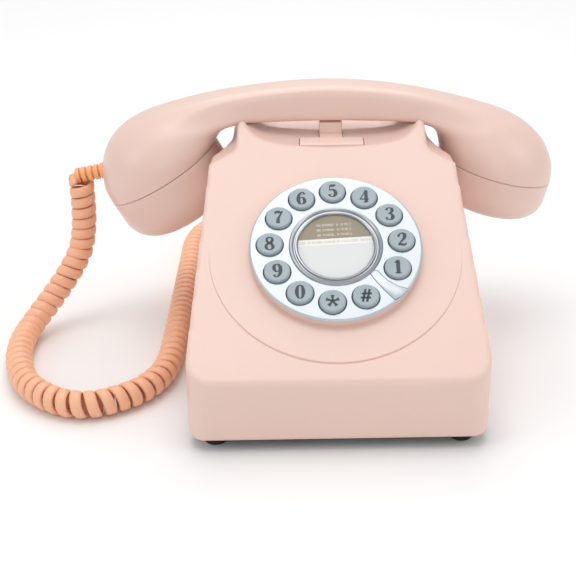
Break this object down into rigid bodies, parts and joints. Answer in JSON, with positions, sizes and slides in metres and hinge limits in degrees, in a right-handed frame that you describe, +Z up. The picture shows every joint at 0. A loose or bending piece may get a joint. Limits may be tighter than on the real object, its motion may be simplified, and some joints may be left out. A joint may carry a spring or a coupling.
{
  "type": "desk telephone",
  "caption": "Pink wedge-shaped desk telephone with push keys in a dial ring, a handset lying across a cradle and a curly cord.",
  "frame": {"origin": "on the table under the middle of the telephone, measured without the cord and its strain relief", "axes": "+X along the handset to the right as seen by the person dialling, +Y to the back, +Z up"},
  "size_m": [0.2935, 0.2665, 0.1365],
  "materials": {
    "pink_shell": "satin-gloss moulded ABS",
    "pale_pink": "satin moulded ABS, paler",
    "silver_paint": "fine silver-white paint, satin",
    "key_grey": "satin blue-grey, dark printed characters",
    "bright_trim": "bright plated trim",
    "card": "printed card",
    "clear": "clear polycarbonate",
    "silicone": "matte silicone",
    "circuit_board": "solder resist",
    "black_moulding": "fine grained moulding",
    "steel": "plain zinc plated",
    "rubber": "matte moulded rubber",
    "orange_boot": "soft satin PVC",
    "salmon_cord": "soft satin PVC"
  },
  "bodies": {
    "base": {"upper_case": "pink_shell", "base_plate": "black_moulding", "plunger_spring": "steel", "hook_bracket": "steel", "hook_microswitch": "black_moulding", "dial_plate": "silver_paint", "finger_stop": "silver_paint", "centre_ring": "bright_trim", "number_card": "card", "card_lens": "clear", "keypad_membrane": "silicone", "keypad_board": "circuit_board", "dial_carrier": "black_moulding", "main_board": "circuit_board", "line_transformer": "steel", "reservoir_capacitor": "black_moulding", "ringer": "black_moulding", "ballast_plate": "steel", "handset_jack": "black_moulding", "line_jack": "black_moulding", "ringer_switch_body": "black_moulding", "curly_cord": "salmon_cord", "cord_tail": "salmon_cord", "cord_plug": "clear", "foot_1": "rubber", "base_screw_1": "steel", "foot_2": "rubber", "base_screw_2": "steel", "foot_3": "rubber", "base_screw_3": "steel", "foot_4": "rubber", "base_screw_4": "steel", "carrier_screw_1": "steel", "carrier_screw_2": "steel", "carrier_screw_3": "steel"},
    "handset": {"handle_shell": "pink_shell", "ear_cap": "pink_shell", "mouth_cap": "pink_shell", "receiver_capsule": "steel", "microphone_capsule": "black_moulding", "handle_weight": "steel", "strain_relief": "orange_boot"},
    "plunger": {"plunger_bar": "pale_pink"},
    "ringer_knob": {"ringer_switch_knob": "black_moulding"},
    "key_1_body": {"key_1": "key_grey"},
    "key_2_body": {"key_2": "key_grey"},
    "key_3_body": {"key_3": "key_grey"},
    "key_4_body": {"key_4": "key_grey"},
    "key_5_body": {"key_5": "key_grey"},
    "key_6_body": {"key_6": "key_grey"},
    "key_7_body": {"key_7": "key_grey"},
    "key_8_body": {"key_8": "key_grey"},
    "key_9_body": {"key_9": "key_grey"},
    "key_0_body": {"key_0": "key_grey"},
    "key_star_body": {"key_star": "key_grey"},
    "key_hash_body": {"key_hash": "key_grey"}
  },
  "joints": [
    {"name": "handset_lift", "type": "slide", "parent": "base", "child": "handset", "axis": [0, 0, 1], "range_m": [0, 0.12]},
    {"name": "hook_press", "type": "slide", "parent": "base", "child": "plunger", "axis": [0, 0, 1], "range_m": [0, 0.005], "deforming": ["plunger_spring"]},
    {"name": "ringer_slide", "type": "slide", "parent": "base", "child": "ringer_knob", "axis": [1, 0, 0], "range_m": [0, 0.007]},
    {"name": "press_1", "type": "slide", "parent": "base", "child": "key_1_body", "axis": [0, 0.5395, -0.842], "range_m": [0, 0.0014], "stiffness_N_per_m": 300},
    {"name": "press_2", "type": "slide", "parent": "base", "child": "key_2_body", "axis": [0, 0.5395, -0.842], "range_m": [0, 0.0014], "stiffness_N_per_m": 300},
    {"name": "press_3", "type": "slide", "parent": "base", "child": "key_3_body", "axis": [0, 0.5395, -0.842], "range_m": [0, 0.0014], "stiffness_N_per_m": 300},
    {"name": "press_4", "type": "slide", "parent": "base", "child": "key_4_body", "axis": [0, 0.5395, -0.842], "range_m": [0, 0.0014], "stiffness_N_per_m": 300},
    {"name": "press_5", "type": "slide", "parent": "base", "child": "key_5_body", "axis": [0, 0.5395, -0.842], "range_m": [0, 0.0014], "stiffness_N_per_m": 300},
    {"name": "press_6", "type": "slide", "parent": "base", "child": "key_6_body", "axis": [0, 0.5395, -0.842], "range_m": [0, 0.0014], "stiffness_N_per_m": 300},
    {"name": "press_7", "type": "slide", "parent": "base", "child": "key_7_body", "axis": [0, 0.5395, -0.842], "range_m": [0, 0.0014], "stiffness_N_per_m": 300},
    {"name": "press_8", "type": "slide", "parent": "base", "child": "key_8_body", "axis": [0, 0.5395, -0.842], "range_m": [0, 0.0014], "stiffness_N_per_m": 300},
    {"name": "press_9", "type": "slide", "parent": "base", "child": "key_9_body", "axis": [0, 0.5395, -0.842], "range_m": [0, 0.0014], "stiffness_N_per_m": 300},
    {"name": "press_0", "type": "slide", "parent": "base", "child": "key_0_body", "axis": [0, 0.5395, -0.842], "range_m": [0, 0.0014], "stiffness_N_per_m": 300},
    {"name": "press_star", "type": "slide", "parent": "base", "child": "key_star_body", "axis": [0, 0.5395, -0.842], "range_m": [0, 0.0014], "stiffness_N_per_m": 300},
    {"name": "press_hash", "type": "slide", "parent": "base", "child": "key_hash_body", "axis": [0, 0.5395, -0.842], "range_m": [0, 0.0014], "stiffness_N_per_m": 300}
  ],
  "couplings": [
    {"joint": "hook_press", "follows": "handset_lift", "ratio": 0.041666}
  ]
}
